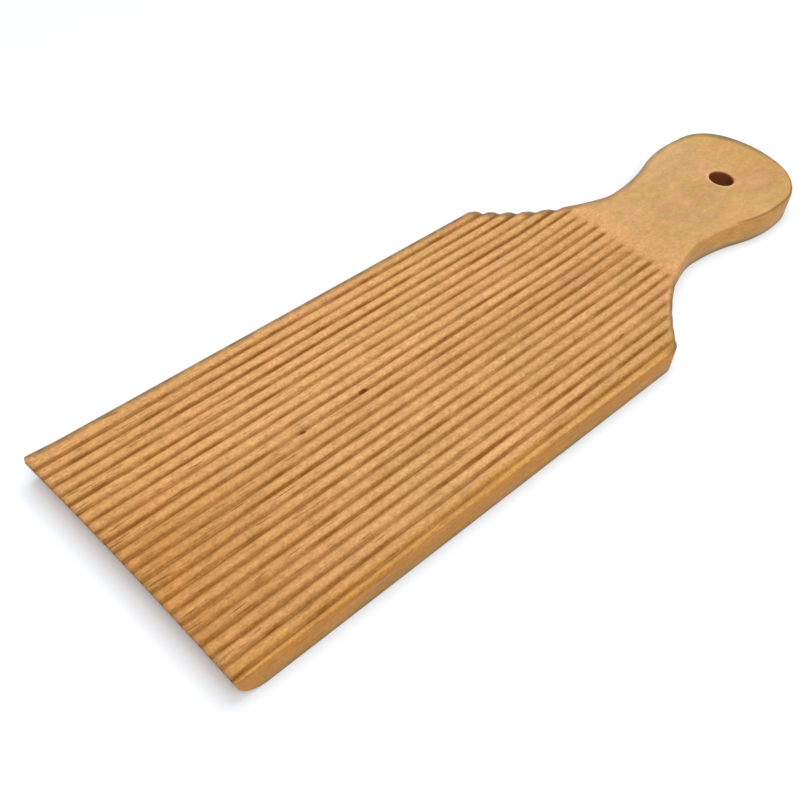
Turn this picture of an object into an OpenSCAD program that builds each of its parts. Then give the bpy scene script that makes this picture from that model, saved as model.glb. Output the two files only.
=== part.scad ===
// Ridged wooden board for rolling small dumplings: one solid piece of beech.
// The board lies flat with its ridges up. Origin: centre of the underside,
// Z up, +Y along the length towards the handle end. Millimetres.

/* [Board] */

// Overall length, from the front edge to the end of the handle
board_l = 230; // [215:1:250]

// Width across the ridged blade
blade_w = 70; // [64:1:76]

// Thickness, measured at the ridge crests and at the handle
board_t = 8; // [7.4:0.1:9]

/* [Ridges] */

// Number of grooves cut along the blade
groove_n = 22; // [12:1:22]

// Spacing of the grooves, centre to centre
groove_pitch = 3.07; // [2.9:0.01:3.1]

// Depth of the grooves below the crests
groove_d = 0.75; // [0.6:0.05:0.9]

// Width of the flat left on top of each crest
crest_flat = 0.75; // [0.4:0.05:1]

// Width of the groove bottom
groove_root = 0.25; // [0.2:0.05:0.4]

// Angle between the grooves and the long axis of the board, degrees
groove_skew = 0.5; // [0:0.05:0.5]

// Distance from the front edge at which the grooves start to rise out
groove_l = 157.5; // [120:0.5:157.5]

// Radius on which the grooves rise out towards the handle
runout_r = 8; // [8:1:30]

/* [Handle] */

// Width of the handle at its narrowest
neck_w = 28.7; // [24.7:0.2:33.7]

// Width of the handle at its widest
grip_w = 39.2; // [36:0.2:44]

// Diameter of the hanging hole
hole_d = 7; // [5:0.5:10]

// Distance from the centre of the hanging hole to the end of the handle
hole_end = 22.6; // [18:0.2:30]

/* [Edges] */

// Radius of the rounded underside at the front edge
nose_r = 8.5; // [8.5:0.1:12]

// Height of the upright lip left at the front edge, measured at the crests
lip_h = 1; // [1:0.1:3]

// Corner radius of the front edge, seen from above
corner_r = 0.8; // [0.5:0.1:4]

/* [Hidden] */

$fn = 96;
half_l = board_l / 2;
blade_h = blade_w / 2;

// the outline of one side is a chain of arcs; each is drawn a little past its
// end and laps the next by this much, so that the two cross cleanly
lap = 0.01;
neck_h = neck_w / 2 + 2 * lap;
grip_h = grip_w / 2 - lap;

// where one arc hands over to the next, as angles from straight across
shoulder_a = 45;
neck_a = 14;
flank_a = 7;
end_a = 70;
shoulder_r = 4;
neck_r = 14;
waist_r = 62;
swell_r = 42;
flank_r = 60;
heel_r = 16;

// sweep from the shoulder down to the neck
sweep_r = (blade_h - neck_h - shoulder_r * (1 - cos(shoulder_a)) - neck_r * (1 - cos(neck_a)))
        / (cos(neck_a) - cos(shoulder_a));
// turn of the two arcs from the neck out to the widest point of the grip
waist_a = acos(1 - (grip_h - neck_h) / (waist_r + swell_r));
// arc that closes the end of the handle across the centre line
heel_c = [grip_h - flank_r + (flank_r - heel_r) * cos(flank_a), (flank_r - heel_r) * sin(flank_a)];
end_r = (heel_c[0] + heel_r * cos(end_a)) / cos(end_a);
end_rise = heel_c[1] + heel_r * sin(end_a) + end_r * (1 - sin(end_a));

grip_y = half_l - end_rise;
neck_y = grip_y - (waist_r + swell_r) * sin(waist_a);

c_neck = [neck_h + neck_r, neck_y];
c_sweep = [c_neck[0] + (sweep_r - neck_r) * cos(neck_a), neck_y + (sweep_r - neck_r) * sin(neck_a)];
c_shoulder = [blade_h - shoulder_r,
              c_sweep[1] - (sweep_r + shoulder_r) * sin(shoulder_a)];
c_waist = [neck_h + waist_r, neck_y];
c_swell = [grip_h - swell_r, grip_y];
c_flank = [grip_h - flank_r, grip_y];
c_heel = [heel_c[0], grip_y + heel_c[1]];
c_end = [0, half_l - end_r];

function on(c, r, a) = [c[0] + r * cos(a), c[1] + r * sin(a)];

// corners of the core under the arcs: just outside the finished edge from the
// shoulder to the waist, where the hollow arcs are cut away, then well inside it
core = [[0, -half_l], [blade_h - corner_r, -half_l], [blade_h, -half_l + corner_r],
        on(c_shoulder, shoulder_r, 0), c_shoulder, on(c_shoulder, shoulder_r + 0.5, shoulder_a),
        on(c_neck, neck_r - 0.5, 180 + neck_a), on(c_neck, neck_r - 0.5, 180),
        on(c_waist, waist_r - 0.5, 180 - waist_a), on(c_swell, swell_r - 3, -waist_a),
        [grip_h / 2, grip_y + 2], [0, grip_y + 2]];

// crest curve: passes through the edge of the crest flat and the groove root
root_x = (groove_pitch - groove_root) / 2;
crest_c = (root_x * root_x - crest_flat * crest_flat / 4 + groove_d * groove_d) / (2 * groove_d);
crest_r = sqrt(crest_c * crest_c + crest_flat * crest_flat / 4);

// centre of the rounding under the front edge, sunk a little so that it cuts cleanly
nose_z = nose_r - 0.06;
nose_y = -half_l + sqrt(nose_r * nose_r - (nose_z - board_t + lip_h) * (nose_z - board_t + lip_h));

// a wedge of a circle between two directions, seen from its centre
module wedge(c, r, a0, a1) {
    translate(c) intersection() {
        circle(r = r, $fn = 360);
        polygon([[0, 0], 2 * r * [cos(a0), sin(a0)], 2 * r * [cos(a1), sin(a1)]]);
    }
}

// one half of the outline, right of the centre line
module half_outline() {
    difference() {
        intersection() {
            translate([0, -board_l]) square([blade_w, 2 * board_l]);
            union() {
                polygon(core);
                wedge([blade_h - corner_r, -half_l + corner_r], corner_r, -90, 0);
                wedge(c_shoulder, shoulder_r, 0, shoulder_a + 15);
                wedge(c_swell, swell_r + lap, -waist_a - 4, 5);
                wedge(c_flank, flank_r, 0, flank_a);
                wedge(c_heel, heel_r + lap, flank_a - 6, end_a + 6);
                wedge(c_end, end_r, end_a, 95);
            }
        }
        wedge(c_sweep, sweep_r + lap, 180 + neck_a, 180 + shoulder_a + 4);
        wedge(c_neck, neck_r + 2 * lap, 174, 186 + neck_a);
        wedge(c_waist, waist_r, 177 - waist_a, 180);
    }
}

// section of the tool that leaves one groove, groove root at y = 0
module groove_section() {
    difference() {
        translate([-root_x, 0]) square([2 * root_x, groove_d + 1]);
        for (s = [-1, 1])
            translate([s * groove_pitch / 2, groove_d - crest_c]) circle(r = crest_r, $fn = 72);
    }
}

// one groove along Y: a straight run, then an arc that rises out of the wood
module groove_cut() {
    translate([0, -half_l - 5, board_t - groove_d])
        rotate([90, 0, 180]) linear_extrude(groove_l + 5) groove_section();
    translate([0, -half_l + groove_l, board_t - groove_d + runout_r])
        rotate([0, 90, 0]) rotate_extrude(angle = 30, $fn = 240)
            translate([runout_r, 0]) rotate(90) groove_section();
}

module board() {
    color([0.83, 0.62, 0.38])
    difference() {
        linear_extrude(board_t) {
            half_outline();
            mirror([1, 0]) half_outline();
        }
        // grooves
        translate([0, 36, 0]) rotate([0, 0, groove_skew]) translate([0, -36, 0])
            for (i = [0 : groove_n - 1])
                translate([(i - (groove_n - 1) / 2) * groove_pitch, 0, 0]) groove_cut();
        // underside rounded up to the front edge
        translate([-blade_h - 1, 0, 0]) rotate([90, 0, 90]) linear_extrude(blade_w + 2)
            difference() {
                translate([-half_l - 1, -1]) square([nose_y + half_l + 1, board_t - lip_h + 1.5]);
                translate([nose_y, nose_z]) circle(r = nose_r, $fn = 144);
            }
        // hanging hole
        translate([0, half_l - hole_end, -1]) cylinder(d = hole_d, h = board_t + 2, $fn = 64);
    }
}

board();
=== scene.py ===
import math

import bpy
import numpy as np
from mathutils import Matrix, Vector


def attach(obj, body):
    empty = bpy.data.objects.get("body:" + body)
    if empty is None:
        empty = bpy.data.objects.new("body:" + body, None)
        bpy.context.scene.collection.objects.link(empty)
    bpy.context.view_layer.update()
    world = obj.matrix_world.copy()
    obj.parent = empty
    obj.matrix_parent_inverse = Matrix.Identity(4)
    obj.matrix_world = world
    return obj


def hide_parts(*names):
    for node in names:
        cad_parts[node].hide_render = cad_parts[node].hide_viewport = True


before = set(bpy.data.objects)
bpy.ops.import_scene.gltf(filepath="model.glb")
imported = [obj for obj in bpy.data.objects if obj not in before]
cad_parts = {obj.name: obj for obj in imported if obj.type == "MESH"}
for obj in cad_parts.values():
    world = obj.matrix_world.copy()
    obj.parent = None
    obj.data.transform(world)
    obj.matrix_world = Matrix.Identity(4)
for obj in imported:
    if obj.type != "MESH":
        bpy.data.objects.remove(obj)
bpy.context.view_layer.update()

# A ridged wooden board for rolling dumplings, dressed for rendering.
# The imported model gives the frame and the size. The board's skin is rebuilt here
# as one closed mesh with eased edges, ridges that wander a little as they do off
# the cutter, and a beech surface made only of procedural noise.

# ---------------------------------------------------------------- dimensions
# Millimetres, in the part's own frame: Y along the board, Z up, table at 0.
LENGTH, WIDTH, THICK = 230.0, 70.0, 8.0
HALF_L, HALF_W = LENGTH / 2, WIDTH / 2
NECK, GRIP = 14.35, 19.6
CORNER_R = 0.8
SHOULDER_R, NECK_R, WAIST_R, SWELL_R, FLANK_R, HEEL_R = 4.0, 14.0, 62.0, 42.0, 60.0, 16.0
A_SHOULDER, A_NECK, A_FLANK, A_END = (math.radians(v) for v in (45, 14, 7, 70))
HOLE_R, HOLE_X, HOLE_Y, HOLE_EDGE = 3.5, 0.5, HALF_L - 22.6, 0.85
GROOVES, PITCH, DEPTH, FLAT, ASIDE = 22, 3.072, 0.75, 0.68, 0.2
SKEW = math.tan(math.radians(0.5))
GROOVE_END, RUNOUT_R = -HALF_L + 157.6, 8.0
NOSE_R, NOSE_L = 8.5, 8.373
EDGE = 0.95


def noise1(t, seed, n=4096):
    """Smooth noise along a line, about -1 to 1, one swing per unit of t."""
    rng = np.random.default_rng(seed)
    v = rng.uniform(-1, 1, n)
    t = np.asarray(t, float) + 1000.5
    i = np.floor(t).astype(int)
    f = t - i
    f = f * f * (3 - 2 * f)
    return v[i % n] * (1 - f) + v[(i + 1) % n] * f


def noise2(x, y, seed, n=256):
    """Smooth noise over a plane, about -1 to 1, one swing per unit."""
    rng = np.random.default_rng(seed)
    v = rng.uniform(-1, 1, (n, n))
    x = np.asarray(x, float) + 512.5
    y = np.asarray(y, float) + 512.5
    i, j = np.floor(x).astype(int), np.floor(y).astype(int)
    f, g = x - i, y - j
    f, g = f * f * (3 - 2 * f), g * g * (3 - 2 * g)
    i, j, i1, j1 = i % n, j % n, (i + 1) % n, (j + 1) % n
    return (v[i, j] * (1 - f) + v[i1, j] * f) * (1 - g) + (v[i, j1] * (1 - f) + v[i1, j1] * f) * g


# ------------------------------------------------------------------- outline
def outline():
    """The right half of the outline as arcs, front to end: (centre, radius, from, to, side).
    side is 1 where the wood is on the centre's side of the arc, -1 where it is outside."""
    sweep = (HALF_W - NECK - SHOULDER_R * (1 - math.cos(A_SHOULDER)) - NECK_R * (1 - math.cos(A_NECK))) / (
        math.cos(A_NECK) - math.cos(A_SHOULDER))
    waist = math.acos(1 - (GRIP - NECK) / (WAIST_R + SWELL_R))
    hx = GRIP - FLANK_R + (FLANK_R - HEEL_R) * math.cos(A_FLANK)
    hy = (FLANK_R - HEEL_R) * math.sin(A_FLANK)
    end_r = (hx + HEEL_R * math.cos(A_END)) / math.cos(A_END)
    rise = hy + HEEL_R * math.sin(A_END) + end_r * (1 - math.sin(A_END))
    gy = HALF_L - rise
    ny = gy - (WAIST_R + SWELL_R) * math.sin(waist)
    cn = (NECK + NECK_R, ny)
    cs = (cn[0] + (sweep - NECK_R) * math.cos(A_NECK), ny + (sweep - NECK_R) * math.sin(A_NECK))
    ch = (HALF_W - SHOULDER_R, cs[1] - (sweep + SHOULDER_R) * math.sin(A_SHOULDER))
    pi = math.pi
    return [
        ((HALF_W - CORNER_R, -HALF_L + CORNER_R), CORNER_R, -pi / 4, 0, 1),
        ("line", (HALF_W, -HALF_L + CORNER_R), (HALF_W, ch[1])),
        (ch, SHOULDER_R, 0, A_SHOULDER, 1),
        (cs, sweep, pi + A_SHOULDER, pi + A_NECK, -1),
        (cn, NECK_R, pi + A_NECK, pi, -1),
        ((NECK + WAIST_R, ny), WAIST_R, pi, pi - waist, -1),
        ((GRIP - SWELL_R, gy), SWELL_R, -waist, 0, 1),
        ((GRIP - FLANK_R, gy), FLANK_R, 0, A_FLANK, 1),
        ((hx, gy + hy), HEEL_R, A_FLANK, math.radians(45), 1),
    ], ((hx, gy + hy), end_r)


def side_curve(step=0.05):
    """Dense points and outward normals along the right side, front corner to heel."""
    pts, nrm = [], []
    for seg in outline()[0]:
        if seg[0] == "line":
            (x0, y0), (x1, y1) = seg[1], seg[2]
            n = max(2, int(abs(y1 - y0) / step))
            t = np.linspace(0, 1, n, endpoint=False)
            p = np.stack([x0 + (x1 - x0) * t, y0 + (y1 - y0) * t], 1)
            m = np.tile([1.0, 0.0], (n, 1))
        else:
            (cx, cy), r, a0, a1, s = seg
            n = max(6, int(abs(a1 - a0) * r / step))
            a = np.linspace(a0, a1, n, endpoint=False)
            p = np.stack([cx + r * np.cos(a), cy + r * np.sin(a)], 1)
            m = np.stack([np.cos(a), np.sin(a)], 1) * s
        pts.append(p)
        nrm.append(m)
    (cx, cy), r, a0, a1, s = outline()[0][-1]
    pts.append(np.array([[cx + r * math.cos(a1), cy + r * math.sin(a1)]]))
    nrm.append(np.array([[math.cos(a1), math.sin(a1)]]))
    return np.concatenate(pts), np.concatenate(nrm)


def end_curve():
    """Dense points and normals over the end of the handle, right heel to left heel."""
    (hc, er) = outline()[1]
    a = np.linspace(math.radians(45), A_END, 60, endpoint=False)
    p1 = np.stack([hc[0] + HEEL_R * np.cos(a), hc[1] + HEEL_R * np.sin(a)], 1)
    n1 = np.stack([np.cos(a), np.sin(a)], 1)
    b = np.linspace(A_END, math.pi / 2, 80)
    p2 = np.stack([er * np.cos(b), HALF_L - er + er * np.sin(b)], 1)
    n2 = np.stack([np.cos(b), np.sin(b)], 1)
    p, n = np.concatenate([p1, p2]), np.concatenate([n1, n2])
    f = np.array([-1.0, 1.0])
    return np.concatenate([p, p[-2::-1] * f]), np.concatenate([n, n[-2::-1] * f])


def front_curve():
    """Dense points and normals along the front edge, right corner to left corner."""
    c = np.array([HALF_W - CORNER_R, -HALF_L + CORNER_R])
    a = np.linspace(-math.pi / 4, -math.pi / 2, 16, endpoint=False)
    p1 = c + CORNER_R * np.stack([np.cos(a), np.sin(a)], 1)
    n1 = np.stack([np.cos(a), np.sin(a)], 1)
    x = np.linspace(c[0], 0, 200)
    p2 = np.stack([x, np.full_like(x, -HALF_L)], 1)
    n2 = np.tile([0.0, -1.0], (len(x), 1))
    p, n = np.concatenate([p1, p2]), np.concatenate([n1, n2])
    f = np.array([-1.0, 1.0])
    return np.concatenate([p, p[-2::-1] * f]), np.concatenate([n, n[-2::-1] * f])


def along(curve, key, want):
    """Points and normals of a curve where key (a rising array) has the wanted values."""
    p, n = curve
    q = np.stack([np.interp(want, key, p[:, i]) for i in (0, 1)], 1)
    m = np.stack([np.interp(want, key, n[:, i]) for i in (0, 1)], 1)
    return q, m / np.linalg.norm(m, axis=1, keepdims=True)


# ------------------------------------------------------------------- heights
def groove_x(k, y):
    """Centre line of groove k at y, with the small wander of a hand-fed cutter."""
    return (k - (GROOVES - 1) / 2) * PITCH + ASIDE - SKEW * (y - 20) + WANDER * (
        0.075 * noise1(y / 38 + 7 * k, 11) + 0.035 * noise1(y / 11 + 3 * k, 12))


WANDER = 1.0
SIDE_XY = side_curve(0.5)[0]


def soft(t):
    t = np.clip(t, 0, 1)
    return t * t * (3 - 2 * t)


def groove_depth(x, y):
    """How far the ridged top lies below the crest plane."""
    k = np.clip(np.rint((x - ASIDE + SKEW * (y - 20)) / PITCH + (GROOVES - 1) / 2), 0, GROOVES - 1)
    best = np.zeros_like(x)
    for dk in (-1, 0, 1):
        kk = np.clip(k + dk, 0, GROOVES - 1)
        u = np.abs(x - groove_x(kk, y))
        size = 1 + WANDER * (0.08 * noise1(kk * 1.37, 21) + 0.08 * noise1(y / 17 + 5 * kk, 22))
        wide = (PITCH - FLAT) / 2 * (1 + WANDER * 0.07 * noise1(y / 9 + 11 * kk, 24))
        past = np.maximum(y - (GROOVE_END + WANDER * (0.7 * noise1(kk * 1.91, 23))), 0)
        lift = RUNOUT_R - np.sqrt(np.maximum(RUNOUT_R ** 2 - past ** 2, 0))
        d = DEPTH * size * (0.5 + 0.5 * np.cos(math.pi * np.clip(u / wide, 0, 1))) ** 0.9 - lift
        best = np.maximum(best, d)
    # the grooves grow shallow where they run out over the shoulders
    rim = (np.interp(y, SIDE_XY[:, 1], SIDE_XY[:, 0]) - np.abs(x)) * 0.72
    fade = soft((y - 17.5) / 3) * soft((48 - y) / 4) * soft((2.2 - rim) / 2.0)
    return best * (1 - fade * np.where(x > 0, 0.6, 0.2))


def nose(y):
    """Height of the underside at y: flat, then curving up to the front edge."""
    t = np.clip(-HALF_L + NOSE_L - y, 0, NOSE_R * 0.999)
    return np.maximum(NOSE_R - 0.06 - np.sqrt(NOSE_R ** 2 - t ** 2), 0)


def edge_darkening(v):
    """Masks along the top arrises, 0 to 1: painted shade where the eased edges turn from the light, and a dark
    line along the right top edge of the grip.
    """
    p, n = side_curve(0.3)
    (pe, ne), (pf, nf), f = end_curve(), front_curve(), np.array([-1.0, 1.0])
    P, N = np.concatenate([p, p * f, pe, pf]), np.concatenate([n, n * f, ne, nf])
    rim, grip_edge_line = np.zeros(len(v)), np.zeros(len(v))
    todo = np.flatnonzero((v[:, 2] > THICK - 1.6) & (
        (np.abs(v[:, 0]) > HALF_W - 3) | (v[:, 1] < -HALF_L + 3) | (v[:, 1] > 17)))
    for part in np.array_split(todo, max(1, len(todo) // 1500)):
        d2 = (v[part, None, 0] - P[None, :, 0]) ** 2 + (v[part, None, 1] - P[None, :, 1]) ** 2
        k = np.argmin(d2, 1)
        m, y = N[k], v[part, 1]
        d = np.maximum(np.sum((P[k] - v[part, :2]) * m, 1), 0)
        left = np.clip(-3 * m[:, 0] + 0.2, 0, 1)
        front = np.clip(-3 * m[:, 1] - 1.5, 0, 1)
        right = np.clip(3 * m[:, 0] - 0.5, 0, 1)
        back = np.clip(1.4 * m[:, 1] - 0.2, 0, 1)
        turn = right * soft((y - 17) / 4) * (1 - soft((y - 42) / 6))
        far = 1.5 + 0.8 * left - 0.6 * front - 0.5 * right + 1.6 * back * (1 - right) + 0.5 * turn
        strength = (1.04 - 0.34 * soft((y - 38) / 20) + 0.35 * back * (y > 90)) * (1 - 0.6 * front)
        strength *= 1 - right + turn
        rim[part] = strength * soft((far - d) / (far * 0.65)) * np.clip(0.4 + d / 0.12, 0, 1)
        grip_edge_line[part] = right * soft((y - 74) / 8) * np.exp(-((d - 0.5) / 0.32) ** 2)
    return rim, grip_edge_line


def ease(d, r):
    """Drop of an edge of radius r at distance d in from it."""
    t = np.clip(r - d, 0, r)
    return r - np.sqrt(np.maximum(r * r - t * t, 0))


# ---------------------------------------------------------------------- mesh
INSET = 1.2


def inset(y):
    """Width of the border strip at y; narrower round the small front corners."""
    return 0.7 + (INSET - 0.7) * np.clip((np.asarray(y, float) + HALF_L - 0.9) / 4.0, 0, 1)


COLS_PER = (0, 0.11, 0.24, 0.4, 0.6, 0.84, 1.1, 1.34)


def spread(marks):
    """Positions from [(start, stop, step), ...], ends included."""
    out = [marks[0][0]]
    for a, b, step in marks:
        n = max(1, round((b - a) / step))
        out += list(a + (b - a) * np.arange(1, n + 1) / n)
    return np.array(out)


class Mesh:
    """Collects vertices and faces of one closed skin."""

    def __init__(self):
        self.v, self.f, self.n = [], [], 0

    def add(self, p):
        p = np.asarray(p, float).reshape(-1, 3)
        i = np.arange(self.n, self.n + len(p))
        self.v.append(p)
        self.n += len(p)
        return i

    def grid(self, idx, flip=False):
        """Quads over a 2-D array of vertex numbers."""
        a, b, c, d = idx[:-1, :-1].ravel(), idx[:-1, 1:].ravel(), idx[1:, 1:].ravel(), idx[1:, :-1].ravel()
        q = np.stack([a, b, c, d] if not flip else [d, c, b, a], 1)
        self.f += q.tolist()

    def zip(self, A, B, tA, tB, flip=False):
        """Triangles between two lines of vertices, in step with tA and tB."""
        i = j = 0
        while i < len(A) - 1 or j < len(B) - 1:
            if j == len(B) - 1 or (i < len(A) - 1 and tA[i + 1] <= tB[j + 1]):
                t = (A[i], A[i + 1], B[j])
                i += 1
            else:
                t = (A[i], B[j + 1], B[j])
                j += 1
            self.f.append([int(k) for k in (t[::-1] if flip else t)])


def blade_cols():
    """Column places across the blade, lined up with the grooves, at y = 20."""
    out = []
    for k in range(GROOVES):
        c = (k - (GROOVES - 1) / 2) * PITCH + ASIDE
        out += [c - v for v in COLS_PER[:0:-1]] + [c] + [c + v for v in COLS_PER[1:]]
        if k < GROOVES - 1:
            out.append(c + PITCH / 2)
    out = np.array(out)
    out = out[np.abs(out) < HALF_W - INSET - 0.12]
    return np.concatenate([[-(HALF_W - INSET)], out, [HALF_W - INSET]])


def fit_cols(cols, y):
    """Slides the columns sideways with the grooves at y, keeping the two outer ones."""
    lim = HALF_W - INSET
    first, last = -(GROOVES - 1) / 2 * PITCH + ASIDE, (GROOVES - 1) / 2 * PITCH + ASIDE
    s = -SKEW * (y - 20)
    a0, a1 = first - 0.6, last + 0.6
    b0, b1 = max(a0 + s, -lim + 0.25), min(a1 + s, lim - 0.25)
    return np.interp(cols, [-lim, a0, a1, lim], [-lim, b0, b1, lim])


def build():
    side, end, front = side_curve(), end_curve(), front_curve()
    y0, y1 = side[0][0, 1], side[0][-1, 1]
    M = Mesh()

    def edge_top(y):
        return 0.28 + (EDGE - 0.28) * np.clip((y + HALF_L - 1.0) / 7.0, 0, 1)

    def edge_low(y):
        return 0.3 + (0.4 - 0.3) * np.clip((y + HALF_L - 1.0) / 7.0, 0, 1)

    def top(x, y):
        g = groove_depth(x, y)
        return THICK - g + WANDER * (0.02 * noise2(x / 7, y / 16, 31) - 0.02)

    # rows, by their height on the side
    rows = spread([(y0, -114.0, 0.15), (-114.0, -112.0, 0.5), (-112.0, 17.0, 2.2), (17.0, 18.5, 0.75),
                   (18.5, 46.5, 0.31), (46.5, 49.0, 0.8)])
    rows_h = spread([(50.0, 84.0, 1.0), (84.0, 100.4, 0.55), (100.4, y1, 0.6)])
    cols = blade_cols()
    cb = cols / (HALF_W - INSET)
    ncoarse = 84
    ch = np.linspace(-1, 1, ncoarse + 1)

    # plan of the fine part
    ps, ns = along(side, side[0][:, 1], rows)
    lim = ps[:, 0] - inset(ps[:, 1]) * ns[:, 0]
    ybord = ps[:, 1] - inset(ps[:, 1]) * ns[:, 1]
    X = np.empty((len(rows), len(cols)))
    for r, y in enumerate(rows):
        X[r] = fit_cols(cols, min(y, 20.0)) / (HALF_W - INSET) * lim[r]
    Y = np.empty_like(X)
    # the first row lies straight between the corners
    yf = -HALF_L + float(inset(-HALF_L))
    fade = np.clip(1 - (rows - y0) / 3.0, 0, 1)
    for r in range(len(rows)):
        Y[r] = ybord[r] + (yf - ybord[0]) * fade[r] * np.clip((lim[r] - np.abs(X[r])) / 0.8, 0, 1)

    # plan of the handle, rows bow out to the end curve
    ph, nh = along(side, side[0][:, 1], rows_h)
    limh = ph[:, 0] - INSET * nh[:, 0]
    ybh = ph[:, 1] - INSET * nh[:, 1]
    ein = end[0] - INSET * end[1]
    XH = np.outer(limh, ch)
    order = np.argsort(ein[:, 0])
    bow = np.interp(XH[-1], ein[order, 0], ein[order, 1]) - ybh[-1]
    tau = np.clip((rows_h - 99.5) / (y1 - 99.5), 0, 1)
    tau = tau * tau * (3 - 2 * tau) * 0.5 + tau * 0.5
    YH = ybh[:, None] + tau[:, None] * bow[None, :]

    ZF = top(X, Y)
    iF = M.add(np.stack([X, Y, ZF], -1)).reshape(X.shape)
    ZH = top(XH, YH)
    # window for the hole
    c0, c1 = np.searchsorted(XH[np.argmin(abs(rows_h - HOLE_Y))], [HOLE_X - 6.3, HOLE_X + 6.3])
    r0, r1 = np.searchsorted(rows_h, [HOLE_Y - 6.3, HOLE_Y + 6.3])
    iH = M.add(np.stack([XH, YH, ZH], -1)).reshape(XH.shape)
    M.grid(iF)
    M.grid(iH[: r0 + 1])
    M.grid(iH[r1:])
    M.grid(iH[r0 : r1 + 1, : c0 + 1])
    M.grid(iH[r0 : r1 + 1, c1:])
    M.zip(iF[-1], iH[0], X[-1] / lim[-1], ch)

    def window(idx, r0, r1, c0, c1):
        """Vertex numbers round the window, anticlockwise from above."""
        return np.concatenate([idx[r0, c0:c1], idx[r0:r1, c1], idx[r1, c1:c0:-1], idx[r1:r0:-1, c0]])

    rho = np.array([0, 0.012, 0.035, 0.07, 0.115, 0.17, 0.24, 0.33, 0.45, 0.6, 0.8])
    hole_e = HOLE_EDGE

    def collar(loop, upper, low_z):
        """Rings from the window in to the rim of the hole. Returns rings, rim first."""
        P = np.concatenate(M.v)[loop]
        d = P[:, :2] - [HOLE_X, HOLE_Y]
        L = np.linalg.norm(d, axis=1)
        u = d / L[:, None]
        rings = []
        for t in rho:
            r = HOLE_R + (L - HOLE_R) * t
            p = np.array([HOLE_X, HOLE_Y]) + u * r[:, None]
            drop = ease(r - HOLE_R, hole_e)
            z = (top(p[:, 0], p[:, 1]) - drop) if upper else (low_z + drop)
            rings.append(M.add(np.column_stack([p, z])))
        rings.append(loop)
        return rings, np.arctan2(u[:, 1], u[:, 0])

    wt = window(iH, r0, r1, c0, c1)
    ringsT, angT = collar(wt, True, 0)
    close = lambda a: np.concatenate([a, a[:1]])
    M.grid(np.array([close(r) for r in ringsT]), flip=True)

    # rim: the loop round the outline, from the right front corner anticlockwise
    def loop_points(rows_all, xf, xe):
        """Boundary points and normals: right side up, end leftwards, left side down, front rightwards."""
        pr, nr = along(side, side[0][:, 1], rows_all)
        o = np.argsort(end[0][:, 0])
        pe, ne = along((end[0][o], end[1][o]), end[0][o, 0], xe)
        o = np.argsort(front[0][:, 0])
        pf, nf = along((front[0][o], front[1][o]), front[0][o, 0], xf)
        f = np.array([-1.0, 1.0])
        P = np.concatenate([pr, pe[::-1][1:], (pr * f)[::-1][1:], pf[1:-1]])
        N = np.concatenate([nr, ne[::-1][1:], (nr * f)[::-1][1:], nf[1:-1]])
        return P, N

    rows_all = np.concatenate([rows, rows_h])
    xf = X[0] / lim[0] * ps[0, 0]
    xe = ch * ph[-1, 0]
    P, N = loop_points(rows_all, xf, xe)
    inner = np.concatenate([iF[:, -1], iH[:, -1], iH[-1, ::-1][1:], iH[::-1, 0][1:], iF[::-1, 0], iF[0, 1:-1]])
    assert len(inner) == len(P), (len(inner), len(P))
    ts = [0.82, 0.65, 0.5, 0.36, 0.23, 0.13, 0.06, 0.015, 0.0]
    et = edge_top(P[:, 1])
    rings = [inner]
    IN = np.concatenate(M.v)[inner][:, :2]
    for t in ts:
        p = P + (IN - P) * t
        d = t * inset(P[:, 1])
        z = top(p[:, 0], p[:, 1]) - ease(d, et)
        rings.append(M.add(np.column_stack([p, z])))
    M.grid(np.array([close(r) for r in rings]), flip=True)

    # underside: coarse grid of the same kind
    lrows = spread([(y0, -113.6, 0.3), (-113.6, -106.0, 0.5), (-106.0, 16.0, 4.0), (16.0, 30.0, 1.0),
                    (30.0, 84.0, 2.0), (84.0, 100.4, 0.8), (100.4, y1, 0.9)])
    nc = 56
    cl = np.linspace(-1, 1, nc + 1)
    pl, nl = along(side, side[0][:, 1], lrows)
    liml = pl[:, 0] - inset(pl[:, 1]) * nl[:, 0]
    ybl = pl[:, 1] - inset(pl[:, 1]) * nl[:, 1]
    XL = np.outer(liml, cl)
    bowl = np.interp(XL[-1], ein[order, 0], ein[order, 1]) - ybl[-1]
    taul = np.clip((lrows - 99.5) / (y1 - 99.5), 0, 1)
    taul = taul * taul * (3 - 2 * taul) * 0.5 + taul * 0.5
    YL = ybl[:, None] + taul[:, None] * bowl[None, :]
    fadel = np.clip(1 - (lrows - y0) / 3.0, 0, 1)
    YL = YL + (yf - ybl[0]) * fadel[:, None] * np.clip((liml[:, None] - np.abs(XL)) / 0.8, 0, 1)
    ZL = nose(YL)
    iL = M.add(np.stack([XL, YL, ZL], -1)).reshape(XL.shape)
    d0, d1 = np.searchsorted(XL[np.argmin(abs(lrows - HOLE_Y))], [HOLE_X - 6.3, HOLE_X + 6.3])
    s0, s1 = np.searchsorted(lrows, [HOLE_Y - 6.3, HOLE_Y + 6.3])
    M.grid(iL[: s0 + 1], flip=True)
    M.grid(iL[s1:], flip=True)
    M.grid(iL[s0 : s1 + 1, : d0 + 1], flip=True)
    M.grid(iL[s0 : s1 + 1, d1:], flip=True)
    wl = window(iL, s0, s1, d0, d1)
    ringsL, angL = collar(wl, False, 0.0)
    M.grid(np.array([close(r) for r in ringsL]))

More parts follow.
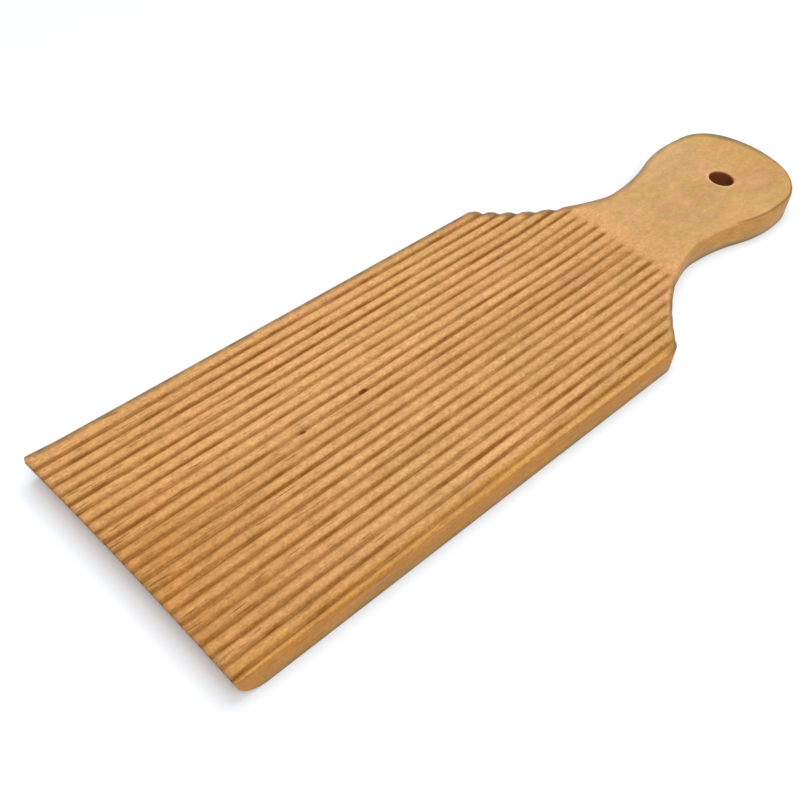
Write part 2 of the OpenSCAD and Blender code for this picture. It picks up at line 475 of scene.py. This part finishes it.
    # walls of the hole
    def hole_ring(ang, z):
        return M.add(np.column_stack([HOLE_X + HOLE_R * np.cos(ang), HOLE_Y + HOLE_R * np.sin(ang), np.full(len(ang), z)]))
    zt, zb = THICK - hole_e, hole_e
    hT = [ringsT[0]] + [hole_ring(angT, z) for z in np.linspace(zt, zt - 1.2, 3)[1:]]
    hL = [ringsL[0]] + [hole_ring(angL, z) for z in np.linspace(zb, zt - 1.8, 5)[1:]]
    M.grid(np.array([close(r) for r in hT]))
    M.grid(np.array([close(r) for r in hL]), flip=True)
    def unroll(ids, ang):
        k = int(np.argmin(ang))
        ids, ang = np.roll(ids, -k), np.roll(ang, -k)
        return np.append(ids, ids[0]), np.append(ang, ang[0] + 2 * math.pi)
    a, ta = unroll(hT[-1], angT)
    b, tb = unroll(hL[-1], angL)
    M.zip(a, b, ta, tb)

    # rim of the underside and the side wall
    xfl = cl * pl[0, 0]
    xel = cl * pl[-1, 0]
    PL, NL = loop_points(lrows, xfl, xel)
    innerL = np.concatenate([iL[:, -1], iL[-1, ::-1][1:], iL[::-1, 0][1:], iL[0, 1:-1]])
    assert len(innerL) == len(PL), (len(innerL), len(PL))
    el = edge_low(PL[:, 1])
    INL = np.concatenate(M.v)[innerL][:, :2]
    ringsB = [innerL]
    for t in [0.75, 0.58, 0.42, 0.28, 0.17, 0.08, 0.02, 0.0]:
        p = PL + (INL - PL) * t
        d = t * inset(PL[:, 1])
        z = nose(p[:, 1]) + ease(d, el)
        ringsB.append(M.add(np.column_stack([p, z])))
    M.grid(np.array([close(r) for r in ringsB]))
    # fine wall rings under the top edge, then one zipped band, then the low rings
    ztop = np.concatenate(M.v)[rings[-1]][:, 2]
    def key(Q):
        d = np.linalg.norm(np.diff(np.concatenate([Q, Q[:1]]), axis=0), axis=1)
        s = np.concatenate([[0], np.cumsum(d)])
        return s / s[-1]
    kP, kL = key(P), key(PL)
    zl = np.concatenate(M.v)[ringsB[-1]][:, 2]
    zl_on_P = np.interp(kP[:-1], kL, np.append(zl, zl[0]))
    wall = [rings[-1]]
    for t in (0.12, 0.3, 0.5):
        z = ztop + (zl_on_P - ztop) * t
        wall.append(M.add(np.column_stack([P, z])))
    M.grid(np.array([close(r) for r in wall]), flip=True)
    zt_on_L = np.interp(kL[:-1], kP, np.append(ztop, ztop[0]))
    wallL = [ringsB[-1], M.add(np.column_stack([PL, zl + (zt_on_L - zl) * 0.22]))]
    M.grid(np.array([close(r) for r in wallL]))
    M.zip(close(wall[-1]), close(wallL[-1]), kP, kL, flip=True)

    return np.concatenate(M.v), M.f


# ----------------------------------------------------------------- the piece
def handle_shift(v):
    """The handle's axis lies a little to the left of the blade's; the hole stays put."""
    far = np.hypot(v[:, 0] - HOLE_X, v[:, 1] - HOLE_Y) - 5.5
    axis = (-0.6 + 0.28 * np.clip(v[:, 0] / 12, -1, 1)) * soft((v[:, 1] - 20) / 30)
    return (axis - 0.65 * soft((v[:, 1] - 98) / 12)) * soft(far / 9)


def front_bow(v):
    """The front edge is planed a hair hollow between its corners."""
    t = np.clip((-v[:, 1] - 85) / 30, 0, 1)
    return 0.4 * (1 - (v[:, 0] / HALF_W) ** 2) * t * t


def make_board():
    V, F = build()
    used = np.zeros(len(V), bool)
    for f in F:
        used[f] = True
    renum = np.cumsum(used) - 1
    depth = groove_depth(V[:, 0], V[:, 1])
    near_top = np.clip((V[:, 2] - (THICK - 2.2)) / 1.0, 0, 1)
    cavity = np.clip(depth / DEPTH, 0, 1) * near_top
    ring = HOLE_R + 0.3 - np.hypot(V[:, 0] - HOLE_X, V[:, 1] - HOLE_Y)
    bore = np.clip(ring / 0.28, 0, 1)
    rim, grip_edge_line = edge_darkening(V)
    V = V.copy()
    V[:, 0] += handle_shift(V)
    V[:, 1] += front_bow(V)
    V = V[used]
    F = [[int(renum[k]) for k in f] for f in F]
    me = bpy.data.meshes.new("board_skin")
    me.from_pydata((V / 1000).tolist(), [], F)
    me.polygons.foreach_set("use_smooth", [True] * len(F))
    for name, values in (("cavity", cavity), ("bore", bore), ("rim", rim), ("grip_edge_line", grip_edge_line)):
        at = me.attributes.new(name, "FLOAT", "POINT")
        at.data.foreach_set("value", values[used].astype(np.float32))
    me.update()
    ob = bpy.data.objects.new("board_skin", me)
    bpy.context.scene.collection.objects.link(ob)
    return ob


WOOD = 0.9


def linear(r, g, b):
    """Linear colour of an 8-bit sRGB one, scaled to the strength of the light."""
    out = []
    for c in (r, g, b):
        c /= 255
        out.append(WOOD * (c / 12.92 if c <= 0.04045 else ((c + 0.055) / 1.055) ** 2.4))
    return (*out, 1.0)


class Nodes:
    """Short hand for building a node tree."""

    def __init__(self, mat):
        self.t = mat.node_tree
        self.t.nodes.clear()

    def new(self, kind, **sets):
        n = self.t.nodes.new(kind)
        for k, v in sets.items():
            setattr(n, k, v)
        return n

    def link(self, a, b):
        self.t.links.new(a, b)

    def put(self, socket, value):
        if isinstance(value, bpy.types.NodeSocket):
            self.link(value, socket)
        else:
            socket.default_value = value

    def coords(self, scale, shift=(0, 0, 0)):
        """Object coordinates in millimetres, stretched."""
        if not hasattr(self, "_tc"):
            self._tc = self.new("ShaderNodeTexCoord").outputs["Object"]
        m = self.new("ShaderNodeMapping")
        self.link(self._tc, m.inputs["Vector"])
        m.inputs["Scale"].default_value = [1000 * v for v in scale]
        m.inputs["Location"].default_value = shift
        return m.outputs["Vector"]

    def noise(self, scale, shift=(0, 0, 0), detail=2.0, rough=0.5, warp=None, distortion=0.0):
        n = self.new("ShaderNodeTexNoise")
        v = self.coords(scale, shift)
        if warp is not None:
            add = self.new("ShaderNodeVectorMath", operation="ADD")
            self.link(v, add.inputs[0])
            self.link(warp, add.inputs[1])
            v = add.outputs[0]
        self.link(v, n.inputs["Vector"])
        n.inputs["Scale"].default_value = 1.0
        n.inputs["Detail"].default_value = detail
        n.inputs["Roughness"].default_value = rough
        n.inputs["Distortion"].default_value = distortion
        return n.outputs["Fac"]

    def ramp(self, value, lo, hi, a=0.0, b=1.0, smooth=True):
        n = self.new("ShaderNodeMapRange", interpolation_type="SMOOTHSTEP" if smooth else "LINEAR")
        self.put(n.inputs["Value"], value)
        for k, v in (("From Min", lo), ("From Max", hi), ("To Min", a), ("To Max", b)):
            n.inputs[k].default_value = v
        return n.outputs["Result"]

    def math(self, op, a, b=0.0):
        n = self.new("ShaderNodeMath", operation=op)
        self.put(n.inputs[0], a)
        self.put(n.inputs[1], b)
        return n.outputs[0]

    def scale(self, colour, k):
        n = self.new("ShaderNodeVectorMath", operation="SCALE")
        self.link(colour, n.inputs[0])
        self.link(k, n.inputs["Scale"])
        return n.outputs[0]

    def vary(self, colour, noise, amount, where=1.0):
        """Colour made lighter and darker by a noise that swings round 0.5."""
        k = self.math("MULTIPLY", self.math("SUBTRACT", noise, 0.5), amount)
        return self.scale(colour, self.math("ADD", self.math("MULTIPLY", k, where), 1.0))

    def mix(self, fac, a, b, blend="MIX"):
        n = self.new("ShaderNodeMix", data_type="RGBA", blend_type=blend)
        self.put(n.inputs["Factor"], fac)
        self.put(n.inputs["A"], a)
        self.put(n.inputs["B"], b)
        return n.outputs["Result"]


def beech():
    mat = bpy.data.materials.new("beech")
    mat.use_nodes = True
    N = Nodes(mat)
    tc = N.new("ShaderNodeTexCoord")
    sep = N.new("ShaderNodeSeparateXYZ")
    N.link(tc.outputs["Object"], sep.inputs[0])
    X = N.math("MULTIPLY", sep.outputs["X"], 1000.0)
    Y = N.math("MULTIPLY", sep.outputs["Y"], 1000.0)
    Z = N.math("MULTIPLY", sep.outputs["Z"], 1000.0)
    nsep = N.new("ShaderNodeSeparateXYZ")
    tn = N.new("ShaderNodeTexCoord")
    N.link(tn.outputs["Normal"], nsep.inputs[0])
    cav = N.new("ShaderNodeAttribute", attribute_name="cavity").outputs["Fac"]

    # where the surface shows end grain: the front edge and the end of the handle
    ny = N.math("ABSOLUTE", nsep.outputs["Y"])
    end = N.ramp(ny, 0.55, 0.95)
    side = N.ramp(N.math("ABSOLUTE", nsep.outputs["Z"]), 0.75, 0.35)

    # slow wander of the grain lines
    warp_n = N.new("ShaderNodeTexNoise")
    N.link(N.coords((0.012, 0.006, 0.02)), warp_n.inputs["Vector"])
    warp_n.inputs["Scale"].default_value = 1.0
    warp_n.inputs["Detail"].default_value = 1.0
    warp = N.new("ShaderNodeVectorMath", operation="SCALE")
    N.link(warp_n.outputs["Color"], warp.inputs[0])
    warp.inputs["Scale"].default_value = 1.6
    W = warp.outputs[0]

    # slow drift of hue over the plank: honey, pink and straw patches
    tone = N.noise((0.03, 0.014, 0.04), (3, 1, 2), 3.0, 0.55)
    col = N.mix(N.ramp(tone, 0.36, 0.64), linear(*HONEY), linear(*PINK))
    blotch = N.noise((0.07, 0.03, 0.06), (9, 4, 1), 2.0, 0.5)
    col = N.mix(N.ramp(blotch, 0.46, 0.66, 0.0, 0.8), col, linear(*STRAW))
    # darker towards the front right, yellower along the right edge: partly the plank's own tone, partly painted
    # shade where the lamps' light falls off
    band = N.math("ADD", N.ramp(X, *BAND_X, 0.42, 1.0), N.math("MULTIPLY", N.noise((0.03, 0.012, 0.03), (5, 5, 5), 1.0), 0.5))
    band = N.math("MULTIPLY", N.ramp(band, 0.25, 1.25), N.ramp(Y, *BAND_Y))
    band = N.math("MULTIPLY", band, N.ramp(X, 20.0, 31.0, 1.0, 0.55))
    col = N.mix(N.math("MULTIPLY", band, BAND), col, linear(*TAN))
    col = N.mix(N.math("MULTIPLY", N.ramp(X, 30.6, 33.4), N.ramp(Y, 40.0, 24.0, 0.0, 0.85)), col, linear(*AMBER))
    # painted light and shade: plain brightness scales, lighter on the left, darker at the front right, at the
    # back of the right edge and towards the back of the ridges, for the fall of the lamps' light
    col = N.scale(col, N.ramp(X, -12.0, 4.0, 1.035, 0.965))
    front_right_shade = N.math("MULTIPLY", N.ramp(X, -4.0, 6.0), N.ramp(Y, -20.0, -95.0))
    col = N.scale(col, N.ramp(front_right_shade, 0.0, 1.0, 1.0, 0.975, smooth=False))
    back_right_shade = N.math("MULTIPLY", N.ramp(X, 22.0, 31.0), N.ramp(Y, -20.0, 26.0))
    col = N.scale(col, N.ramp(back_right_shade, 0.0, 1.0, 1.0, 0.92, smooth=False))
    col = N.scale(col, N.ramp(Y, -14.0, 18.0, 1.0, 0.96))
    # the handle is smooth, with soft moss and rose mottling
    grip = N.ramp(Y, 41.0, 60.0)
    calm = N.math("SUBTRACT", 1.0, grip)
    mottle = N.noise((0.3, 0.2, 0.3), (4, 1, 7), 2.0, 0.6)
    mottle = N.mix(N.ramp(mottle, 0.4, 0.6), linear(*MOSS), linear(*ROSE))
    col = N.mix(N.math("MULTIPLY", grip, GRIP_TONE), col, mottle)
    col = N.scale(col, N.ramp(Y, 38.0, 66.0, 1.0, GRIP_DIM))
    col = N.mix(N.ramp(Y, 90.0, 108.0, 0.0, 0.35), col, linear(*TIP))
    flank = N.math("MULTIPLY", N.ramp(X, -7.0, -15.0), N.math("MULTIPLY", N.ramp(Y, 66.0, 80.0), N.ramp(Y, 106.0, 94.0)))
    col = N.mix(N.math("MULTIPLY", flank, 0.3), col, linear(*FLANK))
    loud = N.ramp(Y, 36.0, 52.0, 1.0, 0.35)
    # growth layers, broad then fine
    broad = N.noise((0.16, 0.004, 0.12), (1, 7, 3), 2.0, 0.5, warp=W)
    col = N.mix(N.math("MULTIPLY", N.ramp(broad, 0.38, 0.66, 0.0, 0.25), loud), col, linear(*DEEP))
    fine = N.noise((1.1, 0.03, 0.8), (5, 2, 8), 3.0, 0.6, warp=W)
    col = N.mix(N.math("MULTIPLY", N.ramp(fine, 0.4, 0.7, 0.0, 0.16), loud), col, linear(*DEEP))
    pale = N.noise((0.7, 0.025, 0.6), (2, 5, 1), 2.0, 0.5, warp=W)
    col = N.mix(N.math("MULTIPLY", N.ramp(pale, 0.5, 0.72, 0.0, 0.2), loud), col, linear(*PALE))
    # short ray flecks and open pores
    fleck = N.noise((2.6, 0.34, 2.0), (4, 4, 4), 1.0, 0.5)
    fleck_m = N.ramp(fleck, 0.62, 0.74)
    col = N.mix(N.math("MULTIPLY", N.math("MULTIPLY", fleck_m, loud), 0.4), col, linear(*FLECK))
    pore = N.noise((5.5, 0.5, 4.5), (6, 1, 9), 1.0, 0.5)
    pore_m = N.ramp(pore, 0.66, 0.76)
    col = N.mix(N.math("MULTIPLY", N.math("MULTIPLY", pore_m, loud), 0.4), col, linear(*FLECK))

    # end grain, and painted light and shade on the sides: a darker copy of the wood than the top, a painted
    # reflection of the pale floor low down, and a painted contact shadow at the foot
    endn = N.noise((1.6, 1.6, 0.5), (2, 2, 6), 3.0, 0.65)
    ecol = N.mix(endn, linear(*END_DARK), linear(*END_PALE))
    col = N.mix(N.math("MULTIPLY", end, 0.75), col, ecol)
    aft = N.ramp(Y, 36.0, 58.0)
    # painted shade: the vertical sides take a darker copy of the wood colour than the top
    col = N.mix(N.math("MULTIPLY", side, 0.93), col, N.mix(aft, linear(*SIDE_SHADED), linear(*SIDE_GRIP_SHADED)))
    # painted reflection of the pale floor on the lower sides
    low_reflected = N.mix(aft, linear(*SIDE_LOW_REFLECTED), linear(*SIDE_LOW_GRIP_REFLECTED))
    col = N.mix(N.math("MULTIPLY", N.math("MULTIPLY", side, N.ramp(Z, 5.2, 0.6)), 0.7), col, low_reflected)
    # painted contact shadow along the foot of the sides
    col = N.mix(N.math("MULTIPLY", side, N.ramp(Z, 2.2, 0.5, 0.0, 0.6)), col, linear(*FOOT_SHADOW))
    col = N.vary(col, N.noise((1.2, 0.03, 1.2), (8, 1, 3), 2.0, 0.6), 0.45, side)

    # the cut surface at the bottom of the ridges is rougher and darker, and painted shade deepens the groove
    # bottoms where little light reaches, a little more on the left
    uneven = N.noise((0.5, 0.09, 0.5), (7, 7, 2), 3.0, 0.6)
    deep = N.math("MULTIPLY", N.ramp(cav, CUT_LO, CUT_HI), N.ramp(uneven, 0.25, 0.75, 0.5, 1.08))
    deep = N.math("MULTIPLY", deep, N.ramp(X, -22.0, 0.0, 1.05, 0.94))
    col = N.mix(N.math("MULTIPLY", deep, CAVITY), col, linear(*VALLEY_CUT_AND_SHADE))

    # woolly, slightly uneven surface at every size from a fibre to a thumb
    for size, seed, amount, quiet in WOOL:
        where = N.math("ADD", N.math("MULTIPLY", calm, 1.0 - quiet), quiet)
        col = N.vary(col, N.noise((size, size * 0.6, size), (seed, seed, seed), 2.0, 0.6), amount, where)
    # dark threads along the grain, more of them towards the front, then a few open pores
    spots = N.ramp(N.noise((2.1, 0.13, 2.1), (3, 8, 5), 1.0, 0.5), 0.6, 0.76)
    spots = N.math("MULTIPLY", spots, N.math("MULTIPLY", loud, N.ramp(Y, -35.0, -95.0, 0.18, 0.62)))
    pits = spots
    for px, py, wide, long, amount in PORES:
        v = N.coords((1 / wide, 1 / long, 0.0), (-px / wide, -py / long, 0.0))
        r = N.new("ShaderNodeVectorMath", operation="LENGTH")
        N.link(v, r.inputs[0])
        pits = N.math("MAXIMUM", pits, N.ramp(r.outputs["Value"], 1.0, 0.45, 0.0, amount))
    col = N.mix(pits, col, linear(*PIT))
    # painted highlight on the hole's eased rim, strongest on its front side, whose slope faces the light
    v = N.new("ShaderNodeVectorMath", operation="LENGTH")
    N.link(N.coords((1.0, 1.0, 0.0), (-HOLE_X, -HOLE_Y, 0.0)), v.inputs[0])
    ring = N.math("MULTIPLY", N.ramp(v.outputs["Value"], 5.2, 4.3), N.ramp(Z, 6.0, 7.0))
    ring = N.math("MULTIPLY", ring, N.ramp(Y, HOLE_Y + 3.0, HOLE_Y - 2.5, 0.25, 1.3))
    col = N.mix(N.math("MULTIPLY", ring, 0.45), col, linear(*HOLE_RIM_HIGHLIGHT))

    # painted shade along the eased top edges where they turn from the light, a dark line along the grip's right
    # top edge, and painted shade on the wall of the drilled hole
    rim = N.new("ShaderNodeAttribute", attribute_name="rim").outputs["Fac"]
    # painted shade on the eased top edges, patchy along their length
    patchy = N.ramp(N.noise((0.25, 0.25, 0.25), (6, 6, 6), 2.0, 0.6), 0.3, 0.7, 0.6, 1.0)
    edge_shade_col = N.mix(N.ramp(Y, 34.0, 62.0), linear(*RIM_SHADE), linear(*RIM_SHADE_GRIP))
    col = N.mix(N.math("MULTIPLY", N.math("MULTIPLY", rim, patchy), RIM_SHADE_MIX), col, edge_shade_col)
    # a dark line along the right top edge of the grip
    grip_edge_line = N.new("ShaderNodeAttribute", attribute_name="grip_edge_line").outputs["Fac"]
    col = N.mix(N.math("MULTIPLY", grip_edge_line, 0.75), col, linear(*GRIP_EDGE_LINE))
    # painted shade inside the drilled hole
    bore_shade = N.new("ShaderNodeAttribute", attribute_name="bore").outputs["Fac"]
    col = N.mix(bore_shade, col, linear(*HOLE_SHADE))

    rough = N.ramp(N.noise((0.9, 0.06, 0.9), (1, 9, 1), 2.0, 0.5), 0.3, 0.7, 0.5, 0.66)
    rough = N.math("ADD", rough, N.math("MULTIPLY", deep, 0.1))

    # relief: fibres, pores, and cross-cut fuzz
    h = N.math("MULTIPLY", fine, 0.25)
    h = N.math("ADD", h, N.math("MULTIPLY", N.noise((7.0, 0.25, 6.0), (3, 3, 3), 2.0, 0.6), 0.35))
    h = N.math("SUBTRACT", h, N.math("MULTIPLY", pore_m, 0.4))
    h = N.math("ADD", h, N.math("MULTIPLY", N.noise((1.2, 0.8, 1.2), (1, 2, 9), 2.0, 0.5), 0.25))
    bump = N.new("ShaderNodeBump")
    bump.inputs["Strength"].default_value = 0.5
    bump.inputs["Distance"].default_value = 0.00012
    N.link(h, bump.inputs["Height"])

    p = N.new("ShaderNodeBsdfPrincipled")
    N.link(col, p.inputs["Base Color"])
    N.link(rough, p.inputs["Roughness"])
    N.link(bump.outputs["Normal"], p.inputs["Normal"])
    # rough cuts and open pores hold less shine
    dull = N.math("ADD", N.math("MULTIPLY", deep, 0.12), N.math("MULTIPLY", pits, 0.25))
    N.link(N.math("MAXIMUM", N.math("SUBTRACT", 0.32, dull), 0.04), p.inputs["Specular IOR Level"])
    out = N.new("ShaderNodeOutputMaterial")
    N.link(p.outputs["BSDF"], out.inputs["Surface"])
    return mat


HONEY = (216, 164, 102)
PINK = (217, 160, 104)
STRAW = (210, 161, 94)
TAN = (195, 134, 62)
AMBER = (204, 148, 70)
MOSS = (203, 163, 95)
ROSE = (213, 161, 109)
DEEP = (188, 132, 68)
PALE = (228, 182, 122)
FLECK = (150, 94, 40)
END_DARK = (205, 175, 138)
END_PALE = (232, 204, 168)
# painted shade on the sides
SIDE_SHADED, SIDE_GRIP_SHADED = (185, 118, 22), (190, 134, 52)
# painted reflection of the floor on the lower sides
SIDE_LOW_REFLECTED, SIDE_LOW_GRIP_REFLECTED = (174, 130, 64), (176, 144, 96)
# painted contact shadow at the foot of the sides
FOOT_SHADOW = (124, 98, 60)
# groove bottoms: rough cut wood and painted shade
VALLEY_CUT_AND_SHADE = (134, 82, 4)
CAVITY, CUT_LO, CUT_HI = 1.0, 0.36, 1.0
# painted shade inside the drilled hole
HOLE_SHADE = (132, 66, 28)
# painted highlight on the hole's rim
HOLE_RIM_HIGHLIGHT = (232, 182, 138)
# painted shade along the eased top edges, and the dark line on the grip's edge
RIM_SHADE, RIM_SHADE_GRIP, GRIP_EDGE_LINE, RIM_SHADE_MIX = (116, 90, 62), (108, 98, 70), (118, 76, 18), 0.85
BAND_X, BAND_Y, BAND = (-20.0, 4.0), (-60.0, -112.0), 0.8
GRIP_TONE, GRIP_DIM = 0.85, 0.905
TIP, FLANK = (198, 150, 74), (224, 182, 136)
WOOL = ((2.2, 6.0, 0.56, 0.34), (1.1, 3.0, 0.5, 0.55), (0.55, 8.0, 0.28, 1.1), (0.24, 5.0, 0.24, 1.5),
        (0.09, 2.0, 0.2, 2.0))
PIT = (104, 52, 0)
PORES = ((-3.85, -47.1, 0.7, 1.9, 0.95), (-3.9, -50.0, 0.4, 2.4, 0.3), (-3.05, -66.0, 0.85, 1.25, 0.9),
         (23.1, 14.8, 0.35, 1.5, 0.5))

board = make_board()
board.data.materials.append(beech())
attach(board, "root")
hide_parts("board")

# --------------------------------------------------------------------- stage
floor_me = bpy.data.meshes.new("floor")
R = 3.0
floor_me.from_pydata([(-R, -R, 0), (R, -R, 0), (R, R, 0), (-R, R, 0)], [], [(0, 1, 2, 3)])
floor = bpy.data.objects.new("floor", floor_me)
bpy.context.scene.collection.objects.link(floor)
fmat = bpy.data.materials.new("pale_floor")
fmat.use_nodes = True
fb = fmat.node_tree.nodes["Principled BSDF"]
fb.inputs["Base Color"].default_value = (0.835, 0.885, 0.94, 1)
fb.inputs["Roughness"].default_value = 0.9
fb.inputs["Specular IOR Level"].default_value = 0.1
floor_me.materials.append(fmat)

WORLD = 0.61
KEY_AT, KEY_SIZE, KEY_POWER = (-0.04, 0.15, 0.85), 0.7, 3.3
SIDE_AT, SIDE_SIZE, SIDE_POWER = (0.42, -0.30, 0.76), 0.5, 3.3
world = bpy.data.worlds.new("studio")
world.use_nodes = True
world.node_tree.nodes["Background"].inputs["Color"].default_value = (1, 1, 1, 1)
world.node_tree.nodes["Background"].inputs["Strength"].default_value = WORLD
bpy.context.scene.world = world


def area(name, where, aim, size, power, colour=(1, 1, 1)):
    li = bpy.data.lights.new(name, "AREA")
    li.shape = "DISK"
    li.size = size
    li.energy = power
    li.color = colour
    ob = bpy.data.objects.new(name, li)
    ob.location = where
    ob.rotation_euler = (Vector(aim) - Vector(where)).to_track_quat("-Z", "Y").to_euler()
    bpy.context.scene.collection.objects.link(ob)
    return ob


area("key", KEY_AT, (0.0, -0.02, 0.0), KEY_SIZE, KEY_POWER)
area("side", SIDE_AT, (0.0, -0.02, 0.0), SIDE_SIZE, SIDE_POWER)

# -------------------------------------------------------------------- camera
AZ, EL, DIST, AIM, ROLL, FOCAL = (
    math.radians(40.405), math.radians(45.977), 0.261906, Vector((-0.00126, -0.036985, -0.000176)),
    math.radians(6.973), 1110.445)
back = Vector((math.sin(AZ) * math.cos(EL), -math.cos(AZ) * math.cos(EL), math.sin(EL)))
right = (-back).cross(Vector((0, 0, 1))).normalized()
up = right.cross(-back)
right, up = math.cos(ROLL) * right + math.sin(ROLL) * up, -math.sin(ROLL) * right + math.cos(ROLL) * up
cam_data = bpy.data.cameras.new("camera")
cam_data.sensor_fit = "HORIZONTAL"
cam_data.sensor_width = 36.0
cam_data.lens = 36.0 * FOCAL / 800
cam_data.clip_start = 0.01
cam_data.clip_end = 20
cam = bpy.data.objects.new("camera", cam_data)
m = Matrix((right, up, back)).transposed().to_4x4()
m.translation = AIM + back * DIST
cam.matrix_world = m
bpy.context.scene.collection.objects.link(cam)
bpy.context.scene.camera = cam

bpy.context.scene.view_settings.view_transform = "Standard"
bpy.context.scene.view_settings.look = "None"
